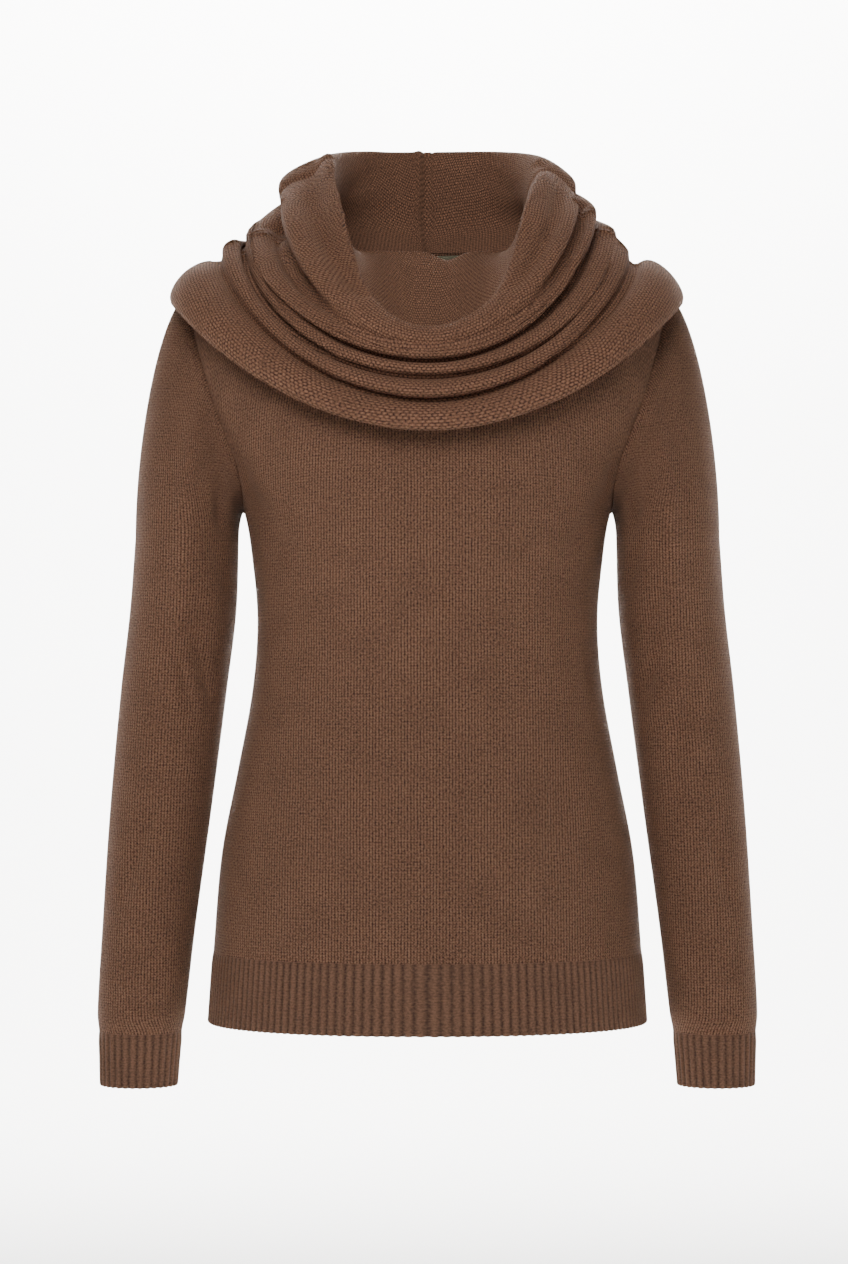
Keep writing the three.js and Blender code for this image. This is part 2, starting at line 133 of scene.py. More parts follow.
# %% Tables
TORSO = table("up side front back", [
    (-591, 170.5, 112, 106), (-535, 166.5, 112, 106), (-460, 160, 110, 106),
    (-395, 147.5, 106, 100), (-335, 136.5, 102, 93), (-285, 132.5, 102, 89),
    (-240, 135.5, 108, 92), (-195, 143, 114, 98), (-141, 166, 109, 101),
    (-114, 178, 105, 101), (-82, 183, 98, 100), (-40, 187, 84, 97), (20, 190, 62, 93),
])
ARMHOLE = table("along side up", [
    (0, 143, -195), (1, 143.5, -178), (2, 147, -160), (3, 154, -141), (4, 164, -114), (5, 173, -86),
    (6, 181, -56), (7, 184, -22),
])
SLEEVE = table("up side fore width depth", [
    (-639, 223.5, 18, 29.5, 25), (-598, 222.5, 15, 32, 28),
    (-584, 221.9, 14, 34, 32), (-521, 216.8, 9, 36, 36),
    (-428, 207.9, 2, 39.4, 41), (-334, 198, -4, 41.3, 46),
    (-272, 190.7, -4, 41.5, 51), (-215, 187.4, -1, 40.2, 54),
])
COLLAR = table("front front_up left left_up right right_up back back_up middle fall rise", [
    (67, -46, 87, 25, 89, 25, 84, 38, 8, 1.3, 0.8),
    (49, -6, 75, 37, 79, 35, 88, 63, 13, 0.5, 0.7),
    (54, -5, 72, 45, 77, 41, 90, 75, 16, 0.5, 0.6),
    (101, -71, 72, 64, 80, 60, 93, 91, 22, 1.8, 0.6),
    (111, -60, 79, 81, 93, 77, 99, 101, 25, 1.15, 0.6),
    (120, -70, 117, 58, 117, 58, 107, 92, 24, 1.3, 0.6),
    (114, -78, 115, 30, 119, 44, 107, 81, 20, 1.2, 0.7),
    (121, -81, 135, 28, 132, 44, 115, 71, 18, 1.2, 1),
    (112, -87, 132, 18, 127, 30, 111, 60, 16, 1.2, 0.9),
    (123, -92, 142, 20, 142, 30, 120, 49, 14, 1.1, 0.9),
    (117, -99, 141, 11, 139, 17, 116, 36, 13, 1.1, 0.9),
    (131, -109, 153, 19, 151, 18, 124, 22, 12, 1.25, 0.9),
    (121, -116, 163, 5, 162, 6, 118, 2, 11, 1.4, 1),
    (133, -128, 189, -6, 188, -5, 128, -22, 9, 1.65, 1.1),
    (130, -139, 200, -31, 199, -31, 124, -50, 8, 1.8, 1.2),
    (123, -136, 195, -28, 194, -28, 119, -47, 8, 1.8, 1.2),
])
print("table rows:", len(TORSO["up"]), len(SLEEVE["up"]), len(COLLAR["front"]))

# %% [markdown]
# ## From a grid of points to a piece of cloth
# Knitted cloth has a thickness, and a seam or an edge shows it. A piece is therefore a grid of points
# on its outside, a second grid one thickness further in, and a rounded or flat rim that joins them.
# The knit follows the cloth, so each piece also carries a flat layout in real metres: across the
# wales and along them.

# %% From a grid of points to a piece of cloth
CLOTH = 2 * MM
SEAM_GAP = 0.1 * MM
CROSS_GAP = 0.1 * MM
TINY = 1e-12


def grid_normals(grid, closed):
    """Cross product of the way across and the way along at each point of a grid."""
    if closed:
        across = np.roll(grid, -1, axis=1) - np.roll(grid, 1, axis=1)
    else:
        across = np.gradient(grid, axis=1)
    normal = np.cross(across, np.gradient(grid, axis=0))
    return normal / np.maximum(size_of(normal), TINY)


def rim(outer, inner, before_outer, steps):
    """Rows of half a circle from the outer to the inner edge, bulging away from the piece."""
    centre, arm = (outer + inner) / 2, (outer - inner) / 2
    away = outer - before_outer
    away = away / size_of(away) * size_of(arm)
    angle = (np.arange(1, steps + 1) * pi / (steps + 1))[:, None, None]
    return centre + arm * np.cos(angle) + away * np.sin(angle)


def run_across(grid, closed, start):
    """How far each point lies along its row from the column start, and past the last point on a tube."""
    line = np.concatenate([grid, grid[:, :1]], axis=1) if closed else grid
    run = np.cumsum(np.linalg.norm(np.diff(line, axis=1), axis=2), axis=1)
    run = np.concatenate([np.zeros((len(grid), 1)), run], axis=1)
    return run - run[:, start: start + 1]


def run_along(grid, closed=False):
    """How far each point lies along its column from the first row. A tube's first column comes twice."""
    line = np.concatenate([grid, grid[:, :1]], axis=1) if closed else grid
    run = np.cumsum(np.linalg.norm(np.diff(line, axis=0), axis=2), axis=0)
    return np.concatenate([np.zeros((1, line.shape[1])), run])


print("cloth thickness in mm:", round(CLOTH / MM, 1), "gap at a seam:", round(SEAM_GAP / MM, 1))

# %% [markdown]
# ## The skin of a piece
# The rows of the outside, the upper rim, the inside in reverse and the lower rim follow each other in
# one loop, so a grid of four-cornered faces over that loop is the whole skin of a tube. A piece with
# two side edges gets a strip of faces down each of them too, which closes it.

# %% The skin of a piece
SHARP_RIM = math.radians(50)


def round_the_loop(rows, round_low, round_high):
    """The flat layout of the grid's rows, repeated for the rims and reversed for the inside."""
    half = round_low // 2
    below, above = np.repeat(rows[:1], round_low - half, 0), np.repeat(rows[-1:], round_high, 0)
    return np.concatenate([below, rows, above, rows[::-1], np.repeat(rows[:1], half, 0)])


def four(a, b, c, d):
    """Four corners side by side."""
    return np.stack([a, b, c, d], -1)


def cloth(name, outer, u, v, closed=False, thickness=CLOTH, round_low=0, round_high=0, inner=None):
    """The closed skin of a grid. round_low and round_high are the even numbers of points in each rim;
    u and v are the flat layout."""
    if inner is None:
        inner = outer - thickness * grid_normals(outer, closed)
    high = rim(outer[-1], inner[-1], outer[-2], round_high)
    low = rim(outer[0], inner[0], outer[1], round_low)[::-1]
    half = round_low // 2
    loop = np.concatenate([low[half:], outer, high, inner[::-1], low[:half]])
    u, v = round_the_loop(u, round_low, round_high), round_the_loop(v, round_low, round_high)
    rows, columns = loop.shape[:2]
    spans = columns if closed else columns - 1
    j, i = np.meshgrid(np.arange(rows), np.arange(spans), indexing="ij")
    above, right, past = (j + 1) % rows, (i + 1) % columns, i + 1
    low_row, high_row = j * columns, above * columns
    quads = four(low_row + i, low_row + right, high_row + right, high_row + i).reshape(-1, 4)
    places = np.stack([four(u[j, i], u[j, past], u[above, past], u[above, i]),
                       four(v[j, i], v[j, past], v[above, past], v[above, i])], -1).reshape(-1, 4, 2)
    if not closed:
        k = np.arange(rows // 2 - 1)
        out, out_next = k * columns, (k + 1) * columns
        back, back_next = (rows - 1 - k) * columns, (rows - 2 - k) * columns
        first = four(out, out_next, back_next, back)
        last = four(out, back, back_next, out_next) + spans
        quads = np.concatenate([quads, first, last])
        ends = np.zeros((2 * len(k), 4, 2))
        ends[: len(k), :, 0], ends[len(k):, :, 0] = u[0, 0], u[0, -1]
        ends[..., 1] = np.tile(v[k, 0], 2)[:, None]
        places = np.concatenate([places, ends])
    return mesh_object(name, loop.reshape(-1, 3), quads, places)


def mesh_object(name, points, quads, places):
    """A smooth-shaded mesh from points, four-cornered faces and a flat layout for each face corner."""
    mesh = bpy.data.meshes.new(name)
    mesh.vertices.add(len(points))
    mesh.vertices.foreach_set("co", points.ravel())
    mesh.loops.add(quads.size)
    mesh.loops.foreach_set("vertex_index", quads.ravel())
    mesh.polygons.add(len(quads))
    mesh.polygons.foreach_set("loop_start", np.arange(0, quads.size, 4))
    mesh.polygons.foreach_set("loop_total", np.full(len(quads), 4))
    mesh.update(calc_edges=True)
    mesh.uv_layers.new(name="knit").data.foreach_set("uv", places.ravel())
    mesh.polygons.foreach_set("use_smooth", np.ones(len(quads), dtype=bool))
    mesh.set_sharp_from_angle(angle=SHARP_RIM)
    piece = bpy.data.objects.new(name, mesh)
    bpy.context.scene.collection.objects.link(piece)
    print(name, "faces:", len(quads), "valid:", not mesh.validate())
    return piece


def side_area(piece):
    """Half of the skin's area, which is the area of the cloth itself."""
    area = np.empty(len(piece.data.polygons))
    piece.data.polygons.foreach_get("area", area)
    return area.sum() / 2


print("an edge sharper than", round(math.degrees(SHARP_RIM)), "degrees stays sharp")

# %% [markdown]
# ## Soft creases
# Knit creases are soft troughs and ridges that start and end gently. Each one is placed in the
# piece's own flat coordinates, from one point to another, with its own depth and width, so that no
# two are alike.

# %% Soft creases
CREASE_ENDS = (0.04, 0.96)
CREASE_FULLNESS = 0.7


def creases(across, along, rows):
    """The sum of soft troughs: each falls off with the distance from its line as a bell curve and
    fades out at both ends as half a sine. A row is across and along at the start, then at the end,
    then depth (below zero for a ridge) and width."""
    depth = np.zeros(np.broadcast(across, along).shape)
    for start_across, start_along, end_across, end_along, deep, wide in rows:
        way = np.array([end_across - start_across, end_along - start_along])
        length = np.hypot(*way)
        way = way / length
        a, b = across - start_across, along - start_along
        run = np.clip((a * way[0] + b * way[1]) / length, 0, 1)
        aside = np.hypot(a - run * length * way[0], b - run * length * way[1])
        fullness = np.sin(pi * mix(*CREASE_ENDS, run)) ** CREASE_FULLNESS
        depth = depth - deep * np.exp(-((aside / wide) ** 2)) * fullness
    return depth


middle_of_one = creases(np.array([0.0]), np.array([0.0]), [(-10, 0, 10, 0, 2, 5)])[0]
print("a crease 2 deep at its middle:", round(float(middle_of_one), 2))

# %% [markdown]
# ## The torso form
# The body is cut to hang from the shoulders over a general figure. Its form is a rounded box in plan
# at each height, whose half width and reach to the front and back come from the table. Towards the
# shoulders the reach shrinks to nothing along a quarter of an ellipse.

# %% The torso form
HEM_EDGE, HEM_TOP, UNDERARM = -591, -537, -195
SQUARENESS = 2.25
NECK_SIDE, NECK_UP = 98, 18
TIP_SIDE, TIP_UP = 184, -22
NECKLINE_DROP = {-1: 100, 1: 3}
NECKLINE_ROUND = 1.3
ROUNDING_AT_NECK, ROUNDING_AT_TIP = 120, 45
FRONT, BACK = -1, 1
REACH = {FRONT: "front", BACK: "back"}
FINE = 400


def shoulder_up(x):
    """The height of the shoulder seam, which falls straight from the neck point to the tip."""
    return NECK_UP + (NECK_SIDE - np.abs(x)) * (NECK_UP - TIP_UP) / (TIP_SIDE - NECK_SIDE)


def torso_depth(facing, x, up):
    """How far the form lies in front of or behind the side seams at a place seen from the front."""
    reach = smooth(TORSO, "up", REACH[facing], up)
    across = np.minimum(np.abs(x) / smooth(TORSO, "up", "side", up), 1)
    rounded = (1 - across**SQUARENESS) ** (1 / SQUARENESS)
    to_tip = np.clip((np.abs(x) - NECK_SIDE) / (TIP_SIDE - NECK_SIDE), 0, 1)
    rounding = mix(ROUNDING_AT_NECK, ROUNDING_AT_TIP, to_tip)
    below = np.clip((shoulder_up(x) - up) / rounding, 0, 1)
    return reach * rounded * np.sqrt(1 - (1 - below) ** 2)


def half_ring(facing, up, spans):
    """Half of the body's section at each height, from side seam to side seam."""
    angle = np.linspace(-pi / 2, pi / 2, spans + 1)[None, :]
    up = np.asarray(up, dtype=float)[:, None]
    x = -facing * smooth(TORSO, "up", "side", up) * power(np.sin(angle), 2 / SQUARENESS)
    reach = smooth(TORSO, "up", REACH[facing], up)
    y = facing * reach * np.maximum(np.cos(angle), 0) ** (2 / SQUARENESS)
    return np.stack([x, y, up + 0 * x], axis=2)


def armhole(facing, side, count):
    """The armhole seam from the underarm to the shoulder point, evenly spaced."""
    along = np.linspace(0, len(ARMHOLE["along"]) - 1, FINE)
    x, up = smooth(ARMHOLE, "along", "side", along), smooth(ARMHOLE, "along", "up", along)
    return even(np.stack([side * x, facing * torso_depth(facing, x, up), up], axis=1), count)


def neckline(facing, count):
    """The neckline from one neck point to the other, evenly spaced."""
    angle = np.linspace(-pi / 2, pi / 2, FINE)
    x = -facing * NECK_SIDE * np.sin(angle)
    up = NECK_UP - NECKLINE_DROP[facing] * np.maximum(np.cos(angle), 0) ** NECKLINE_ROUND
    return even(np.stack([x, facing * torso_depth(facing, x, up), up], axis=1), count)


print("depth at the middle of the chest in mm:", torso_depth(FRONT, np.array([0.0]), UNDERARM).round(1))

# %% [markdown]
# ## Front and back
# Below the underarm a panel is a stack of half sections. Above it the outline seen from the front,
# which is the armholes, the shoulder seams and the neckline, fills a patch, and the torso form gives
# each of its points a depth. A wale runs straight up the middle, so the knit is laid out from there.

# %% Front and back
PANEL_SPANS, LOWER_ROWS, UPPER_ROWS = 168, 110, 80
SHOULDER_SHARE = 1 / 6
SEAM_SINK, SEAM_SINK_WIDTH = 0.35, 2.2
SIDE_SEAM_SHARE, SIDE_SEAM_FADE = 0.6, 12
CREASE_FADE_HEM, CREASE_FADE_EDGE = 20, 12

# Across and height at both ends of each crease, then its depth and width, all in millimetres.
BODY_CREASES = {
    FRONT: [
        (-150, -148, -128, -205, 2.6, 7), (-138, -178, -100, -236, 2.2, 8),
        (150, -150, 127, -208, 2.5, 7), (138, -180, 98, -244, 2.3, 8), (-126, -250, -84, -322, 1.6, 13),
        (122, -262, 88, -318, 1.3, 12), (-128, -120, -112, -176, 1.2, 10),
        (130, -118, 110, -182, 1.2, 10), (-66, -462, -22, -522, 1.0, 15), (28, -438, 80, -508, 1.2, 16),
        (-108, -380, -76, -476, 1.3, 13), (110, -366, 86, -484, 1.4, 14), (-42, -206, 12, -292, -1.0, 19),
        (54, -216, 30, -302, 1.0, 17),
    ],
    BACK: [
        (-136, -170, -88, -218, 2.6, 8), (136, -172, 94, -226, 2.4, 8), (-112, -300, -18, -318, 2.4, 11),
        (12, -306, 114, -296, 2.2, 12), (-92, -268, 30, -260, 1.6, 10), (-34, -346, 90, -354, 1.5, 12),
        (-72, -478, -40, -526, 1.1, 14), (50, -448, 86, -516, 1.3, 15), (-54, -112, 42, -142, 1.0, 18),
    ],
}


def panel_top(facing, spans):
    """Shoulder seam, neckline and shoulder seam as one line."""
    shoulder = round(spans * SHOULDER_SHARE)
    x = np.linspace(TIP_SIDE, NECK_SIDE, shoulder + 1)
    first = np.stack([facing * x, 0 * x, shoulder_up(x)], axis=1)
    last = (first * [-1, 1, 1])[::-1]
    return np.concatenate([first, neckline(facing, spans - 2 * shoulder + 1)[1:-1], last])


def panel_grid(facing):
    """Half sections up to the underarm, and above it a patch between four lines: the sum of the
    two straight blends less the blend of the corners."""
    gap = SEAM_GAP / MM / 2
    lower = half_ring(facing, np.linspace(HEM_TOP + gap, UNDERARM, LOWER_ROWS + 1)[:-1], PANEL_SPANS)
    chest = half_ring(facing, [UNDERARM], PANEL_SPANS)[0]
    top = panel_top(facing, PANEL_SPANS)
    left = armhole(facing, facing, UPPER_ROWS + 1)[:, None]
    right = armhole(facing, -facing, UPPER_ROWS + 1)[:, None]
    u = np.linspace(0, 1, PANEL_SPANS + 1)[None, :, None]
    v = (left[..., 2:] - left[0, 0, 2]) / (left[-1, 0, 2] - left[0, 0, 2])
    corners = mix(mix(chest[0], chest[-1], u), mix(top[0], top[-1], u), v)
    patch = mix(chest[None], top[None], v) + mix(left, right, u) - corners
    patch[..., 1] = facing * torso_depth(facing, patch[..., 0], patch[..., 2])
    grid = np.concatenate([lower, patch])
    grid[:, [0, -1], 1] = facing * gap
    grid[LOWER_ROWS:, [0, -1], 1] = facing * np.maximum(np.abs(patch[:, [0, -1], 1]), gap)
    grid[LOWER_ROWS:, [0, -1], 0] -= np.sign(grid[LOWER_ROWS:, [0, -1], 0]) * CROSS_GAP / MM / 2
    grid[-1, :, 1] = facing * np.maximum(np.abs(grid[-1, :, 1]), gap)
    return grid


def body_panel(name, facing):
    """A panel's grid with its creases and the shallow groove that a linked seam leaves at its edge."""
    grid = panel_grid(facing)
    across = run_across(grid, False, PANEL_SPANS // 2)
    to_edge = np.minimum(across[:, -1:] - across, across - across[:, :1])
    on_armhole = np.clip((grid[..., 2] - UNDERARM) / SIDE_SEAM_FADE, 0, 1)
    sink = -SEAM_SINK * np.exp(-((to_edge / SEAM_SINK_WIDTH) ** 2)) * mix(SIDE_SEAM_SHARE, 1, on_armhole)
    above_hem = np.clip((grid[..., 2] - HEM_TOP) / CREASE_FADE_HEM, 0, 1)
    fade = above_hem * np.clip(to_edge / CREASE_FADE_EDGE, 0, 1)
    depth = sink + creases(grid[..., 0], grid[..., 2], BODY_CREASES[facing]) * fade
    grid = grid + grid_normals(grid, False) * depth[..., None]
    return cloth(name, grid * MM, across * MM, run_along(grid) * MM)


front = body_panel("front_body", FRONT)
back = body_panel("back_body", BACK)

# %% [markdown]
# ## Ribs
# A two-by-two rib has two raised stitches and two sunk ones, over and over, and it gathers the edge a
# little. Its outside is the plain form moved out by a rounded square wave, and its inside stays
# plain. The free edge is rounded, because the knit turns there. Each pair of raised wales is one ridge.

# %% Ribs
HEM_RIBS, CUFF_RIBS = 76, 32
RIB_RAISE = 0.8
RIB_PITCH_MM = 5.6
RIB_FADE = 7
RIB_LEFT_AT_TOP = 0.15
RIB_STEPS = 8
RIB_ROWS = 12
RIB_SQUARENESS = 2.2
EDGE_ROUND, EDGE_POINTS = 1, 4


def rib_wave(count, spans):
    """Between 0 and 1: a cosine squared off by a hyperbolic tangent, once for each rib."""
    turn = np.arange(spans + 1) * 2 * pi * count / spans
    return 0.5 - 0.5 * np.tanh(RIB_SQUARENESS * np.cos(turn)) / math.tanh(RIB_SQUARENESS)


def ribbed(name, plain, count, closed, start):
    """A ribbed band over a plain grid, with a rounded lower edge."""
    wave = rib_wave(count, plain.shape[1] if closed else plain.shape[1] - 1)[: plain.shape[1]]
    inner = plain - CLOTH / MM * grid_normals(plain, closed)
    below_top = np.clip((plain[-1, 0, 2] - plain[:, 0, 2]) / RIB_FADE, 0, 1)[:, None]
    raised = RIB_RAISE * wave[None, :] * mix(RIB_LEFT_AT_TOP, 1, below_top)
    outer = plain + grid_normals(plain, closed) * raised[..., None]
    ribs = (np.arange(plain.shape[1] + closed) - start) / RIB_STEPS
    across = np.repeat(ribs[None] * RIB_PITCH_MM, len(plain), axis=0)
    up = np.repeat(plain[:, :1, 2], across.shape[1], axis=1)
    return cloth(name, outer * MM, across * MM, up * MM, closed=closed, inner=inner * MM,
                 round_low=EDGE_POINTS)


def hem_rib(name, facing):
    """Half a band round the body, from side seam to side seam."""
    spans = HEM_RIBS * RIB_STEPS
    heights = np.linspace(HEM_EDGE + EDGE_ROUND, HEM_TOP - SEAM_GAP / MM / 2, RIB_ROWS)
    plain = half_ring(facing, heights, spans)
    plain[:, [0, -1], 1] = facing * SEAM_GAP / MM / 2
    return ribbed(name, plain, HEM_RIBS, False, spans // 2)


front_hem = hem_rib("front_hem", FRONT)
back_hem = hem_rib("back_hem", BACK)

# %% [markdown]
# ## Where the sleeves crease
# Creases gather inside the elbow and at the armpit, and one long soft ridge runs down from the
# shoulder. Each arm has its own, so that the two don't mirror each other.

# %% Where the sleeves crease
LEFT, RIGHT = 1, -1
WHOLE_TURN = 288

# How far round the arm and how high both ends of each crease lie, then its depth and width, in
# millimetres. A whole turn counts as 288. It starts at the side next to the body and runs by the back
# on the right arm, where the front is at 216, and by the front on the left arm, where that is at 72.
SLEEVE_CREASES = {
    RIGHT: [
        (216, -122, 218, -300, -4.0, 8), (238, -124, 256, -214, 5.0, 8), (208, -288, 238, -346, 4.2, 6),
        (258, -342, 224, -282, 4.2, 8), (252, -300, 226, -262, 2.0, 8), (262, -372, 212, -352, 2.0, 9),
        (268, -268, 236, -206, 2.2, 8), (246, -412, 200, -396, 1.5, 10), (214, -420, 190, -500, 3.2, 8),
        (240, -524, 196, -546, 1.8, 9), (180, -566, 236, -578, 1.6, 7), (60, -300, 22, -268, 2.6, 8),
        (66, -334, 26, -352, 2.2, 8), (84, -250, 40, -214, 2.0, 9), (70, -420, 114, -448, 1.6, 11),
        (50, -524, 98, -546, 1.6, 9), (96, -140, 106, -244, -1.8, 11),
    ],
    LEFT: [
        (70, -126, 69, -290, -3.8, 8), (50, -126, 32, -216, 4.6, 8), (82, -322, 54, -392, 3.6, 7),
        (29, -338, 66, -290, 4.0, 8), (36, -302, 64, -258, 1.8, 8), (26, -374, 78, -356, 1.9, 9),
        (20, -262, 52, -208, 2.1, 8), (42, -418, 90, -402, 1.4, 10), (76, -430, 98, -506, 3.0, 8),
        (46, -528, 92, -550, 1.7, 9), (108, -568, 54, -580, 1.5, 7), (216, -304, 258, -270, 2.5, 8),
        (208, -338, 252, -356, 2.1, 8), (198, -252, 240, -216, 1.9, 9), (214, -424, 170, -454, 1.6, 11),
        (234, -526, 188, -548, 1.6, 9), (188, -142, 178, -240, -1.8, 11),
    ],
}

print("creases on the right and left sleeve:", len(SLEEVE_CREASES[RIGHT]), len(SLEEVE_CREASES[LEFT]))

# %% [markdown]
# ## Sleeves and cuffs
# A sleeve is a tube of level sections up to the upper arm. Its cap leaves the top section straight up
# and bends over to the armhole, as a cubic between the two. The cuff is a ribbed band on the same
# sections, a little narrower.

# %% Sleeves and cuffs
CUFF_EDGE, CUFF_TOP, BICEP = -639, -598, -215
SLEEVE_SPANS, TUBE_ROWS, CAP_ROWS = 144, 170, 44
CAP_RISE, CAP_LEAN, CAP_SETTLE, CAP_LEAST = 1.15, 0.6, 0.24, 0.4
CAP_HEIGHT = 110
FAR = 99.0
CREASE_FADE_CUFF, CREASE_FADE_CAP = 12, 14


def sleeve_rings(side, up, spans):
    """Level ellipses, from the side next to the body and round by the back on the right arm."""
    angle = np.linspace(0, 2 * pi, spans, endpoint=False)[None, :]
    up = np.asarray(up, dtype=float)[:, None]
    inward = np.cos(angle) * smooth(SLEEVE, "up", "width", up)
    forward = np.sin(angle) * smooth(SLEEVE, "up", "depth", up)
    x = side * (smooth(SLEEVE, "up", "side", up) - inward)
    y = -side * forward - smooth(SLEEVE, "up", "fore", up)
    return np.stack([x, y, up + 0 * x], axis=2)


def sleeve_cap(side, rim_ring):
    """A cubic from each point of the top section to its point of the armhole."""
    half = SLEEVE_SPANS // 2 + 1
    loop = np.concatenate([armhole(-side, side, half), armhole(side, side, half)[::-1][1:-1]])
    way = loop - rim_ring
    reach = size_of(way)
    over = np.maximum(-side * way[:, :1] / reach, 0)
    settle = reach * np.array([[-side * CAP_LEAN, 0, CAP_SETTLE]]) * (CAP_LEAST + over)
    t = np.linspace(0, 1, CAP_ROWS + 1)[1:, None, None]
    rise = np.concatenate([0 * reach, 0 * reach, reach * CAP_RISE], axis=1)
    blend = t * t * (3 - 2 * t)
    return rim_ring + way * blend + rise * t * (1 - t) ** 2 + settle * t * t * (t - 1)


def sleeve(name, side):
    """Tube and cap as one grid, with creases and the groove at the armhole seam."""
    heights = np.linspace(CUFF_TOP + SEAM_GAP / MM / 2, BICEP, TUBE_ROWS)
    tube = sleeve_rings(side, heights, SLEEVE_SPANS)
    cap = sleeve_cap(side, tube[-1])
    cap[-1, :, 0] += side * CROSS_GAP / MM / 2
    grid = np.concatenate([tube, cap])
    across = run_across(grid, True, SLEEVE_SPANS // 2)
    lie = np.concatenate([heights, BICEP + np.linspace(0, CAP_HEIGHT, CAP_ROWS + 1)[1:]])[:, None]
    around = np.linspace(0, WHOLE_TURN, SLEEVE_SPANS, endpoint=False)[None, :]
    to_seam = np.linalg.norm(np.cumsum(np.diff(cap[::-1], axis=0), axis=0), axis=2)[::-1]
    on_tube, at_seam = np.full((TUBE_ROWS, SLEEVE_SPANS), FAR), np.zeros((1, SLEEVE_SPANS))
    to_seam = np.concatenate([on_tube, to_seam, at_seam])
    sink = -SEAM_SINK * np.exp(-((to_seam / SEAM_SINK_WIDTH) ** 2))
    fade = np.clip((lie - CUFF_TOP) / CREASE_FADE_CUFF, 0, 1) * np.clip(to_seam / CREASE_FADE_CAP, 0, 1)
    depth = sink + creases(around, lie, SLEEVE_CREASES[side]) * fade
    grid = grid + grid_normals(grid, True) * depth[..., None]
    return cloth(name, grid * MM, across * MM, run_along(grid, True) * MM, closed=True)


def cuff(name, side):
    """A ribbed tube below the sleeve."""
    heights = np.linspace(CUFF_EDGE + EDGE_ROUND, CUFF_TOP - SEAM_GAP / MM / 2, RIB_ROWS)
    plain = sleeve_rings(side, heights, CUFF_RIBS * RIB_STEPS)
    return ribbed(name, plain, CUFF_RIBS, True, 0)


right_arm, left_arm = sleeve("right_arm", RIGHT), sleeve("left_arm", LEFT)
right_wrist, left_wrist = cuff("right_wrist", RIGHT), cuff("left_wrist", LEFT)

# %% [markdown]
# ## Rings of the cowl collar
# The collar is one wide tube of knit sewn to the neckline. It stands up inside, falls over its own
# top edge and settles in rolls, purl side out. The table gives its ridges and creases as rings, and
# a ring 0 at the neckline is added to them. At some places two rolls run together.

# %% Rings of the cowl collar
COLLAR_TURNS = 272
BACK_SEAM_HALF, BACK_SEAM_POINTS = math.radians(3), 9
FRONT_SQUARENESS, BACK_SQUARENESS = 0.8, 0.7
NECK_POINTS = 361

# Where two rolls run together: the crease's ring, the middle and half width in degrees from the front
# (above zero to the right arm), and how far it is lifted to the line between the ridges beside it.
MERGES = [
    (9, 82, 40, 0.95), (11, -84, 42, 0.95), (13, 118, 20, 0.7), (7, -70, 24, 0.5),
    (9, -140, 26, 0.8), (11, 150, 26, 0.8),
]


def collar_turns():
    """Turns from the back seam once round to it, more of them beside it. The front is at 2 pi."""
    plain = np.linspace(pi, 3 * pi, COLLAR_TURNS, endpoint=False)
    beside = np.linspace(0, BACK_SEAM_HALF, BACK_SEAM_POINTS)[1:]
    return np.unique(np.round(np.concatenate([plain, pi + beside, 3 * pi - beside]), 5))


def collar_rings(turn):
    """The table's rings: a sine across, a cosine to the front and back, each to its own power."""
    s, c = np.sin(turn)[None, :], np.cos(turn)[None, :]
    column = {name: values[:, None] for name, values in COLLAR.items()}
    leftward, forward = s > 0, c > 0
    side = np.where(leftward, column["left"], column["right"])
    side_up = np.where(leftward, column["left_up"], column["right_up"])
    reach = np.where(forward, column["front"] + column["middle"], column["back"] - column["middle"])
    size = np.abs(c)
    front_up = mix(side_up, column["front_up"], size ** column["fall"])
    back_up = mix(side_up, column["back_up"], size ** column["rise"])
    x = -side * np.where(forward, s, power(s, BACK_SQUARENESS))
    y = column["middle"] - reach * np.where(forward, size**FRONT_SQUARENESS, c)
    return np.stack([x, y, np.where(forward, front_up, back_up)], axis=2)


def neck_seam(turn):
    """The neckline as one loop: a quarter turn for each half of the front, half a turn for the back."""
    front_line, back_line = neckline(FRONT, NECK_POINTS)[::-1], neckline(BACK, 2 * NECK_POINTS - 1)[::-1]
    half = NECK_POINTS // 2
    loop = np.concatenate([front_line[half:-1], back_line[:-1], front_line[: half + 1]])
    quarter = np.linspace(0, pi / 2, half + 1)
    back_half = np.linspace(pi / 2, 3 * pi / 2, 2 * NECK_POINTS - 1)
    at = np.concatenate([quarter[:-1], back_half[:-1], 3 * pi / 2 + quarter])
    return np.stack([np.interp(np.mod(turn, 2 * pi), at, loop[:, axis]) for axis in range(3)], axis=1)


def toward_neck(p):
    """Unit arrows inwards from the neckline, and down at its sides."""
    way = np.stack([-p[:, 0], -p[:, 1], -np.abs(p[:, 0])], axis=1)
    return way / size_of(way)


def up_the_neck(p):
    """Unit arrows up from the neckline, leaning in at its sides."""
    way = np.stack([-p[:, 0], -p[:, 1], 0 * p[:, 0]], axis=1)
    way = way / size_of(way) * np.abs(p[:, :1]) / NECK_SIDE + [0, 0, 1]
    return way / size_of(way)


def merged_rings(turn):
    """Ring 0 at the neckline and the table's rings, with creases lifted where two rolls run together.
    The lift fades to both sides as the exponential of a fourth power."""
    seam = neck_seam(turn)
    start = seam + toward_neck(seam) * CLOTH / MM + up_the_neck(seam) * CROSS_GAP / MM
    rings = np.concatenate([start[None], collar_rings(turn)])
    for ring, middle, half, lift in MERGES:
        near = lift * np.exp(-(((turn - 2 * pi - math.radians(middle)) / math.radians(half)) ** 4))
        rings[ring] = mix(rings[ring], (rings[ring - 1] + rings[ring + 1]) / 2, near[:, None])
    return rings


print("rings and columns of the collar:", merged_rings(collar_turns()).shape[:2])

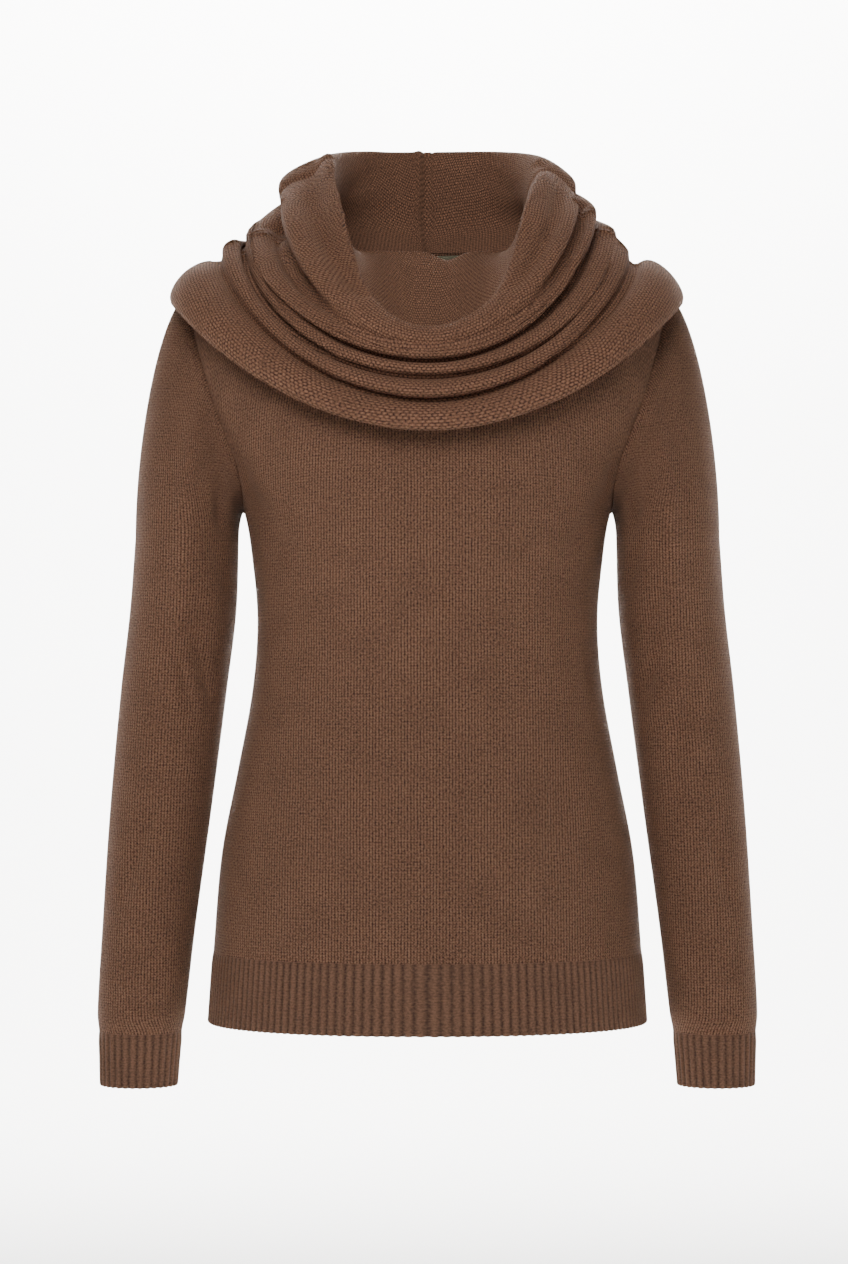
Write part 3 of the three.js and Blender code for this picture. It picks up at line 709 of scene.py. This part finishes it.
# %% [markdown]
# ## The collar's curve
# A smooth curve runs down through the rings of each column. Each roll is drawn out to half an ellipse
# between its two creases, which keeps the creases sharp and the rolls round. The inner layer's edge
# hangs a little lower in front of the label. Where the collar would sink into the shoulders it is moved
# up or out until it lies on them.

# %% The collar's curve
COLLAR_STEPS = 9
ROLLS = [(7, 8, 9), (9, 10, 11), (11, 12, 13), (13, 14, 15)]
ROLL_ROUNDNESS = 0.75
RESTING_FROM = 6
RESTING_GAP = 3.5
LIFT_LEVELS = 60
EDGE_SHARE, EDGE_SPREAD, EDGE_SAG = 2.5, 0.8, -1.5
LABEL_SAG, LABEL_SAG_SIDE, LABEL_SAG_HALF = 6.5, 15, 11


def clear_of_torso(points, gap):
    """Points inside the form plus a gap are moved up or out, whichever is the shorter way."""
    x, y, up = np.moveaxis(points, -1, 0)
    for facing in (FRONT, BACK):
        mine = (y < 0) if facing == FRONT else (y >= 0)
        out = torso_depth(facing, x, up) + gap
        high = np.maximum(shoulder_up(x), up)
        levels = mix(up, high, np.linspace(0, 1, LIFT_LEVELS + 1)[:, None, None])
        free = torso_depth(facing, x, levels) < np.abs(y)
        first = np.where(free.any(axis=0), free.argmax(axis=0), LIFT_LEVELS)
        risen = gap + np.take_along_axis(levels, first[None], axis=0)[0]
        inside = mine & (np.abs(y) < out)
        lift = inside & (risen - up < out - np.abs(y))
        y = np.where(inside & ~lift, facing * out, y)
        up = np.where(lift, risen, up)
    return np.stack([x, y, up], axis=-1)


def collar_grid(turn):
    """A cubic through the rings, with each roll blended towards half an ellipse through its ridge."""
    rings = merged_rings(turn)
    share = np.linspace(0, len(rings) - 1, (len(rings) - 1) * COLLAR_STEPS + 1)
    slope = np.gradient(rings, axis=0)
    i = np.minimum(share.astype(int), len(rings) - 2)
    f = (share - i)[:, None, None]
    grid = mix(rings[i], rings[i + 1], f * f * (3 - 2 * f))
    grid = grid + f * (1 - f) ** 2 * slope[i] + f * f * (f - 1) * slope[i + 1]
    for first, ridge, last in ROLLS:
        here = (share >= first) & (share <= last)
        angle = pi * (share[here] - first)[:, None, None] / (last - first)
        middle = (rings[first] + rings[last]) / 2
        between = mix(rings[first], rings[last], (1 - np.cos(angle)) / 2)
        roll = between + (rings[ridge] - middle) * np.sin(angle)
        grid[here] = mix(grid[here], roll, ROLL_ROUNDNESS)
    x, forward = grid[..., 0], np.maximum(np.cos(turn), 0)[None, :]
    near_edge = np.exp(-(((share[:, None] - EDGE_SHARE) / EDGE_SPREAD) ** 2))
    sag = EDGE_SAG + LABEL_SAG * np.exp(-(((x - LABEL_SAG_SIDE) / LABEL_SAG_HALF) ** 2))
    grid[..., 2] -= sag * near_edge * forward**0.5
    return grid, share


print("points down each column of the collar:", len(collar_grid(collar_turns())[1]))

# %% [markdown]
# ## The collar as cloth
# Folds and dents on the rolls go in one by one like the other creases, deepest between the rolls at the
# sides and shallow on the rolls themselves. The tube was closed by one seam at the middle of the back,
# which shows as a groove with a low welt beside it.

# %% The collar as cloth
TURN_MM, RING_MM = 120, 12
SEAM_TURN_MM = 90
SEAM_GROOVE, SEAM_GROOVE_HALF = 2.2, 1.1
SEAM_WELT, SEAM_WELT_SIDE, SEAM_WELT_HALF = 1.1, 3, 1.8
NECK_FADE = 0.6
COLLAR_EDGE_POINTS = 4
WALES_FROM_RING, ROWS_FROM_RING = 6, 11

# How far round the collar and how far along it both ends of each crease lie, then its depth and width,
# in millimetres. Round it they are taken 120 mm from the middle, from the front centre and above zero
# towards the right arm. Along it each ring counts as 12.
COLLAR_CREASES = [
    (8, 48, 128, 50, 5.0, 7), (-132, 49, -6, 48, 4.6, 7), (70, 63, 206, 65, 9.5, 2.5),
    (120, 74, 190, 75, 2.6, 3.2), (176, 57, 208, 61, -4.5, 4), (-182, 66, -78, 64, 7.0, 2.7),
    (-216, 56, -184, 60, 4.0, 4), (64, 120, 196, 98, 3.0, 3), (-150, 96, -70, 112, 2.4, 3),
    (24, 73, 130, 69, 2.2, 5), (-110, 70, -18, 74, 1.8, 5), (-104, 84, 96, 84, -4.5, 4),
    (-128, 94, 112, 95, 5.0, 3), (84, 83, 226, 85, 9, 4.4), (-196, 84, -92, 83, 6, 4.4),
    (-140, 108, 150, 108, 2.4, 3), (120, 108, 310, 106, -5.5, 4), (-300, 106, -140, 108, -3.0, 4),
    (-150, 132, 160, 132, 2.0, 3), (70, 131, 250, 132, 9.0, 4.4), (-216, 108, -90, 107, 6.5, 4.4),
    (-160, 156, 150, 156, 2.6, 3), (130, 156, 300, 158, 3.0, 5), (-250, 157, -100, 156, 6.0, 4.4),
    (-40, 119, 70, 123, 1.4, 5), (16, 146, 128, 143, 1.6, 5), (-170, 144, -60, 147, 1.7, 5),
    (20, 178, 150, 172, 1.6, 6), (-190, 170, -80, 176, 1.8, 6), (176, 160, 240, 178, 3.0, 7),
    (-250, 180, -180, 162, 3.0, 7), (200, 150, 310, 142, 2.4, 7), (-318, 140, -204, 152, 2.4, 7),
    (148, 62, 200, 78, 2.6, 7), (-206, 80, -146, 60, 2.6, 7), (250, 28, 330, 44, 1.8, 9),
    (-330, 46, -250, 30, 1.7, 9), (330, 62, 420, 68, 1.6, 8),
]


def collar():
    """The collar's grid with its creases and back seam. A crease that runs past the seam goes on from
    the column's other side, which the second sum, a whole turn further, puts in."""
    turn = collar_turns()
    grid, share = collar_grid(turn)
    around, along = (turn - 2 * pi)[None, :] * TURN_MM, share[:, None] * RING_MM
    depth = creases(around, along, COLLAR_CREASES)
    depth = depth + creases(around + 2 * pi * TURN_MM, along, COLLAR_CREASES)
    from_seam = (np.mod(turn, 2 * pi) - pi)[None, :] * SEAM_TURN_MM
    depth = depth - SEAM_GROOVE * np.exp(-((from_seam / SEAM_GROOVE_HALF) ** 2))
    depth = depth + SEAM_WELT * np.exp(-(((from_seam + SEAM_WELT_SIDE) / SEAM_WELT_HALF) ** 2))
    depth = depth * np.clip(share[:, None] / NECK_FADE, 0, 1)
    grid = grid + grid_normals(grid, True) * depth[..., None]
    inner = grid - CLOTH / MM * grid_normals(grid, True)
    inner[0] = grid[0] - toward_neck(neck_seam(turn)) * CLOTH / MM
    resting = share >= RESTING_FROM
    grid[resting] = clear_of_torso(grid[resting], CLOTH / MM + RESTING_GAP)
    inner[resting] = clear_of_torso(inner[resting], RESTING_GAP)
    u, v = collar_layout(grid, turn, share)
    return cloth("cowl", grid * MM, u * MM, v * MM, closed=True, inner=inner * MM,
                 round_high=COLLAR_EDGE_POINTS)


def collar_layout(grid, turn, share):
    """The knit's flat layout: wales are counted both ways from the front along one ring, and rows up
    and down each column from another ring."""
    around = run_across(grid, True, np.abs(turn - 2 * pi).argmin())
    along = run_along(grid, True)
    u = np.repeat(around[None, share.searchsorted(WALES_FROM_RING)], len(share), axis=0)
    return u, along - along[share.searchsorted(ROWS_FROM_RING)]


cowl = collar()

# %% [markdown]
# ## The label
# A short woven tape sits inside the back of the neck, sewn along its top edge just under the seam. It
# is left blank.

# %% The label
LABEL_HALF, LABEL_TOP, LABEL_BOTTOM, LABEL_OFF = 26, 12, -1, 3.9
LABEL_CLOTH = 0.8
LABEL_SPANS, LABEL_ROWS = 40, 12


def label():
    """A patch of the back's inside, moved towards the neck."""
    x = np.linspace(-LABEL_HALF, LABEL_HALF, LABEL_SPANS + 1)[None, :]
    up = np.linspace(LABEL_BOTTOM, LABEL_TOP, LABEL_ROWS + 1)[:, None] + 0 * x
    y = torso_depth(BACK, x, up) - LABEL_OFF - LABEL_CLOTH
    grid = np.stack([x + 0 * up, y, up], axis=2)
    across = run_across(grid, False, LABEL_SPANS // 2)
    return cloth("blank_label", grid * MM, across * MM, up * MM, thickness=LABEL_CLOTH * MM)


tape = label()

# %% [markdown]
# ## Tools for materials
# Colours are read as the hex values that a paint chart gives and turned to linear light once. One
# function adds a node with its settings and links, so that a material reads like a recipe.

# %% Tools for materials
def linear(hex_colour):
    """An sRGB hex value in linear light."""
    value = np.array([int(hex_colour[k: k + 2], 16) for k in (1, 3, 5)]) / 255
    light = np.where(value <= 0.04045, value / 12.92, ((value + 0.055) / 1.055) ** 2.4)
    return (*light, 1.0)


def fill(node, inputs):
    """Each input gets a number, a colour or another node's output."""
    for name, value in dict(inputs).items():
        if isinstance(value, bpy.types.NodeSocket):
            node.id_data.links.new(value, node.inputs[name])
        else:
            node.inputs[name].default_value = value


def add(tree, kind, inputs=(), out=0, **settings):
    """One output of a new node with its inputs and settings."""
    node = tree.nodes.new("ShaderNode" + kind)
    for name, value in settings.items():
        setattr(node, name, value)
    fill(node, inputs)
    return node.outputs[out]


def blank_material(name):
    """A new material, its node tree and its shader."""
    material = bpy.data.materials.new(name)
    material.use_nodes = True
    return material, material.node_tree, material.node_tree.nodes["Principled BSDF"]


def mixed(tree, share, low, high):
    """A share between 0 and 1 stretched to run from low to high: times their difference, plus low."""
    spread = add(tree, "Math", {0: share, 1: high - low}, operation="MULTIPLY")
    return add(tree, "Math", {0: spread, 1: low}, operation="ADD")


def humps(tree, count):
    """Rounded humps from 0 to 1 and back, one for each whole number: sine of pi times the fraction."""
    part = add(tree, "Math", {0: count}, operation="FRACT")
    angle = add(tree, "Math", {0: part, 1: pi}, operation="MULTIPLY")
    return add(tree, "Math", {0: angle}, operation="SINE")


print("mid grey in linear light:", round(linear("#808080")[0], 3))

# %% [markdown]
# ## Stitches
# The yarn is a fine, matt, slightly hairy wool blend in brown, with lighter and darker fibres spun
# together. On the plain side each stitch is a V in a column. On the purl side the same stitches show
# as short arcs, set like bricks. The stitches are a height worked out from the flat layout, so they
# follow the cloth.

# %% Stitches
# Real stitches here are about 1.5 mm wide, too fine to show, so they are drawn coarser than that.
WALE_MM, COURSE_MM = 2.4, 2.1
PURL_WIDE_MM, PURL_HIGH_MM = 2.9, 2.4
SHAKE_PER_METRE = 55.0
V_SLOPE = -1.2
ARM_ROUND, PURL_ROUND, RIB_ROUND = 0.8, 0.8, 0.5


def knit_places(tree, wide_mm, high_mm, shake_mm):
    """The flat layout counted in stitches and rows, shaken a little so that no row is quite straight."""
    place = add(tree, "UVMap", uv_map="knit")
    wander = add(tree, "TexNoise", {"Vector": place, "Scale": SHAKE_PER_METRE, "Detail": 2.0}, out=1)
    most = (shake_mm * MM, shake_mm * MM, 0)
    shake = add(tree, "VectorMath", {0: wander, 1: most}, operation="MULTIPLY")
    moved = add(tree, "VectorMath", {0: place, 1: shake}, operation="ADD")
    split = add(tree, "SeparateXYZ", {0: moved})
    wales = add(tree, "Math", {0: split, 1: wide_mm * MM}, operation="DIVIDE")
    courses = add(tree, "Math", {0: split.node.outputs[1], 1: high_mm * MM}, operation="DIVIDE")
    return wales, courses, place


def plain_stitches(tree, wales, courses):
    """A column of Vs: two rounded arms whose rows climb away from the column's middle, and a groove
    between one column and the next."""
    arm = add(tree, "Math", {0: wales, 1: 0.5}, operation="PINGPONG")
    slant = add(tree, "Math", {0: arm, 1: V_SLOPE}, operation="MULTIPLY")
    climbing = add(tree, "Math", {0: courses, 1: slant}, operation="SUBTRACT")
    angle = add(tree, "Math", {0: arm, 1: pi}, operation="MULTIPLY")
    rounded_arm = add(tree, "Math", {0: angle}, operation="SINE")
    rounded_arm = add(tree, "Math", {0: rounded_arm, 1: ARM_ROUND}, operation="POWER")
    row = mixed(tree, humps(tree, climbing), 0.35, 1.0)
    return add(tree, "Math", {0: rounded_arm, 1: row}, operation="MULTIPLY")


def purl_stitches(tree, wales, courses):
    """Short arcs set like bricks: every other row is moved by half a stitch."""
    odd = add(tree, "Math", {0: courses, 1: 2.0}, operation="MODULO")
    odd = add(tree, "Math", {0: odd}, operation="FLOOR")
    shift = add(tree, "Math", {0: odd, 1: 0.5}, operation="MULTIPLY")
    moved = add(tree, "Math", {0: wales, 1: shift}, operation="ADD")
    arc = add(tree, "Math", {0: humps(tree, moved), 1: PURL_ROUND}, operation="POWER")
    row = add(tree, "Math", {0: humps(tree, courses), 1: PURL_ROUND}, operation="POWER")
    return add(tree, "Math", {0: arc, 1: row}, operation="MULTIPLY")


def rib_stitches(tree, ribs, courses):
    """One rounded ridge for each two raised wales, with its rows, and a plain low groove between, which
    the wool paints dark as shade.
    """
    turn = add(tree, "Math", {0: ribs, 1: 2 * pi}, operation="MULTIPLY")
    wave = add(tree, "Math", {0: turn}, operation="COSINE")
    half_wave = add(tree, "Math", {0: wave, 1: 0.5}, operation="MULTIPLY")
    ridge = add(tree, "Math", {0: 0.5, 1: half_wave}, operation="SUBTRACT")
    ridge = add(tree, "Math", {0: ridge, 1: RIB_ROUND}, operation="POWER")
    row = mixed(tree, humps(tree, courses), 0.75, 1.0)
    return add(tree, "Math", {0: ridge, 1: row}, operation="MULTIPLY")


print("plain stitches in a metre, across and up:", round(1 / (WALE_MM * MM)), round(1 / (COURSE_MM * MM)))

# %% [markdown]
# ## Knitted wool
# The height of the stitches bends the light, and the gaps between the strands are painted darker as
# shade.
# Flecks lighten and darken the yarn, and broad faint patches keep a large piece from looking printed.
# Wool is very rough, and sheen gives it the soft light rim of its fibres.

# %% Knitted wool
GAP_SHADE, HEATHER, PATCHES = 0.75, 1.9, 0.12
# A fleck is about 1.6 mm and a patch about 33 mm.
FLECKS_PER_METRE, PATCHES_PER_METRE = 620.0, 30.0
WOOL_SURFACE = {"Roughness": 0.92, "IOR": 1.46, "Specular IOR Level": 0.25, "Sheen Weight": 0.12,
                "Sheen Roughness": 0.5, "Sheen Tint": linear("#B98E70")}


def wool(name, light, dark, stitches, wide_mm, high_mm, raise_mm, shake_mm=1.0):
    """Wool knit: stitches as height and as painted shade in the gaps, and a heathered yarn between two
    browns.
    """
    material, tree, shader = blank_material(name)
    wales, courses, place = knit_places(tree, wide_mm, high_mm, shake_mm)
    height = stitches(tree, wales, courses)
    heather, patches = [
        add(tree, "TexNoise", {"Vector": place, "Scale": scale, "Detail": detail, "Roughness": 0.6})
        for scale, detail in ((FLECKS_PER_METRE, 2.0), (PATCHES_PER_METRE, 3.0))
    ]
    # Painted shade: the low parts of each stitch are darkened in the colour in place of the shade between
    # the strands, more in some patches than in others.
    gap_shade_strength = mixed(tree, patches, 0.1, 1.9)
    gap_shade_strength = add(tree, "Math", {0: gap_shade_strength, 1: GAP_SHADE}, operation="MULTIPLY")
    centred = add(tree, "Math", {0: height, 1: 0.5}, operation="SUBTRACT")
    painted_gap_shade = add(tree, "Math", {0: centred, 1: gap_shade_strength}, operation="MULTIPLY")
    fleck = mixed(tree, heather, 0.5 - HEATHER / 2, 0.5 + HEATHER / 2)
    tone = add(tree, "Math", {0: painted_gap_shade, 1: fleck}, operation="ADD")
    tone = add(tree, "Math", {0: tone, 1: mixed(tree, patches, -PATCHES, PATCHES)}, operation="ADD")
    tone = add(tree, "Clamp", {"Value": tone})
    colour = add(tree, "Mix", {0: tone, 6: linear(dark), 7: linear(light)}, out=2, data_type="RGBA")
    bumpy = add(tree, "Bump", {"Height": height, "Distance": raise_mm * MM, "Strength": 1.0})
    fill(shader, {"Base Color": colour, "Normal": bumpy, **WOOL_SURFACE})
    return material


# The dark brown of each wool is both the yarn's darker fibres and the painted shade in the stitch gaps.
plain_wool = wool("wool_plain_side", "#835F4A", "#291B15", plain_stitches, WALE_MM, COURSE_MM, 0.7)
rib_wool = wool("wool_rib", "#6B4E3D", "#3C2B22", rib_stitches, RIB_PITCH_MM, COURSE_MM, 0.3, 0.2)
purl_wool = wool("wool_purl_side", "#865F49", "#30211A", purl_stitches, PURL_WIDE_MM, PURL_HIGH_MM, 0.6)
print("wool materials:", plain_wool.name, rib_wool.name, purl_wool.name)

# %% [markdown]
# ## Woven tape
# The label is a fine satin-woven polyester tape in olive grey. Fine cross ribs stand for its weave, and
# the colour is painted darker in the hollows between them, as shade.

# %% Woven tape
TAPE_THREAD_MM, TAPE_RAISE_MM = 0.6, 0.1
TAPE_ROUGHNESS = 0.6


def woven_tape():
    """Two crossed waves as the weave, one thread wide, with painted shade in its hollows."""
    material, tree, shader = blank_material("polyester_label_tape")
    place = add(tree, "UVMap", uv_map="knit")
    split = add(tree, "SeparateXYZ", {0: place})
    turns = pi / (TAPE_THREAD_MM * MM)
    warp = add(tree, "Math", {0: split, 1: turns}, operation="MULTIPLY")
    warp = add(tree, "Math", {0: warp}, operation="SINE")
    weft = add(tree, "Math", {0: split.node.outputs[1], 1: turns}, operation="MULTIPLY")
    weft = add(tree, "Math", {0: weft}, operation="SINE")
    crossed = add(tree, "Math", {0: warp, 1: weft}, operation="MULTIPLY")
    height = add(tree, "Math", {0: crossed}, operation="ABSOLUTE")
    # Painted shade: the olive is darker where the weave is low and lighter where it is raised.
    olives_with_painted_shade = {0: height, 6: linear("#5E5B49"), 7: linear("#86816A")}
    colour = add(tree, "Mix", olives_with_painted_shade, out=2, data_type="RGBA")
    bumpy = add(tree, "Bump", {"Height": height, "Distance": TAPE_RAISE_MM * MM})
    fill(shader, {"Base Color": colour, "Normal": bumpy, "Roughness": TAPE_ROUGHNESS})
    return material


tape_cloth = woven_tape()
print("tape thread in mm:", TAPE_THREAD_MM)

# %% [markdown]
# ## Dress each piece
# A piece takes its material, moves with the one body there is and stands for its plain node. Its
# cloth area is printed beside the size that it was cut to.

# %% Dress each piece
PIECES = [
    (front, "front_panel", plain_wool, "plain_knit", (0.455, 0.555), "hung", []),
    (back, "back_panel", plain_wool, "plain_knit", (0.450, 0.590), "hung", []),
    (front_hem, "front_hem_rib", rib_wool, "rib_knit", (0.450, 0.054), "hung", []),
    (back_hem, "back_hem_rib", rib_wool, "rib_knit", (0.445, 0.054), "hung", []),
    (right_arm, "right_sleeve", plain_wool, "plain_knit", (0.300, 0.560), "hung", []),
    (left_arm, "left_sleeve", plain_wool, "plain_knit", (0.300, 0.560), "hung", []),
    (right_wrist, "right_cuff", rib_wool, "rib_knit", (0.180, 0.044), "hung", []),
    (left_wrist, "left_cuff", rib_wool, "rib_knit", (0.180, 0.044), "hung", []),
    (cowl, "cowl_collar", purl_wool, "collar_knit", (0.760, 0.290), "draped",
     ["front_panel", "back_panel"]),
    (tape, "neck_label", tape_cloth, "label_tape", (0.056, 0.016), "hung", []),
]

for piece, node, material, slot, flat, held, rests_on in PIECES:
    piece.data.materials.append(material)
    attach(piece, "root")
    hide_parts(node)
    area = side_area(piece)
    print(node, "cloth area", round(area, 4), "of", round(flat[0] * flat[1], 4))

# %% [markdown]
# ## Studio
# A plain pale floor runs up into a plain pale wall on one large curve, so no line shows behind the
# garment. A soft light stands in front and above, a weaker one fills from the other side, a third
# lights only the wall, and the pale room fills the shadows, as for a catalogue picture.

# %% Studio
FLOOR_UP, WALL_AWAY, WALL_TOP = -0.86, 1.6, 4.0
STAGE_HALF = 6.0
CURVE_RADIUS, CURVE_POINTS = 0.9, 24
CLOUDS_PER_METRE, PAINT_ROUGHNESS = 1.5, 0.9
ROOM_LIGHT = 0.22


def studio_floor():
    """A floor, a quarter circle and a wall, as one profile carried across."""
    angle = np.linspace(0, pi / 2, CURVE_POINTS)
    bend = np.stack([WALL_AWAY + CURVE_RADIUS * np.sin(angle),
                     FLOOR_UP + CURVE_RADIUS * (1 - np.cos(angle))], 1)
    profile = np.concatenate([[[-STAGE_HALF, FLOOR_UP]], bend, [[bend[-1, 0], WALL_TOP]]])
    grid = np.stack([np.stack([np.full(len(profile), x), *profile.T], 1)
                     for x in (-STAGE_HALF, STAGE_HALF)], 1)
    rows = len(profile)
    k = np.arange(rows - 1)
    quads = np.stack([2 * k, 2 * k + 1, 2 * k + 3, 2 * k + 2], 1)
    return mesh_object("studio_floor", grid.reshape(-1, 3), quads, np.zeros((rows - 1, 4, 2)))


def painted_floor():
    """Matt white paint with the faintest unevenness."""
    material, tree, shader = blank_material("matt_white_paint")
    place = add(tree, "TexCoord", out=3)
    cloud = add(tree, "TexNoise", {"Vector": place, "Scale": CLOUDS_PER_METRE})
    whites = {0: cloud, 6: linear("#F4F3F1"), 7: linear("#FAF9F8")}
    colour = add(tree, "Mix", whites, out=2, data_type="RGBA")
    fill(shader, {"Base Color": colour, "Roughness": PAINT_ROUGHNESS})
    return material


def soft_light(name, place, watts, size, look_at=(0, 0, -0.25)):
    """A square soft light that looks at the middle of the garment, or at another place."""
    data = bpy.data.lights.new(name, "AREA")
    data.energy = watts
    data.size = size
    light = bpy.data.objects.new(name, data)
    light.location = place
    aim = np.array(look_at) - np.array(place)
    tilt = math.acos(-aim[2] / np.linalg.norm(aim))
    light.rotation_euler = (tilt, 0, math.atan2(aim[1], aim[0]) - pi / 2)
    bpy.context.scene.collection.objects.link(light)


floor = studio_floor()
floor.data.materials.append(painted_floor())
soft_light("key", (-0.2, -1.35, 0.6), 19, 0.8)
soft_light("fill", (0.9, -2.9, 0.1), 5, 1.4)
soft_light("backdrop", (0.0, 0.5, 1.7), 850, 2.4, look_at=(0, 3, 1.3))

world = bpy.data.worlds.new("pale_room")
bpy.context.scene.world = world
world.use_nodes = True
fill(world.node_tree.nodes["Background"], {"Color": (1, 1, 1, 1), "Strength": ROOM_LIGHT})
print("lights:", len(bpy.data.lights), "room light:", ROOM_LIGHT)
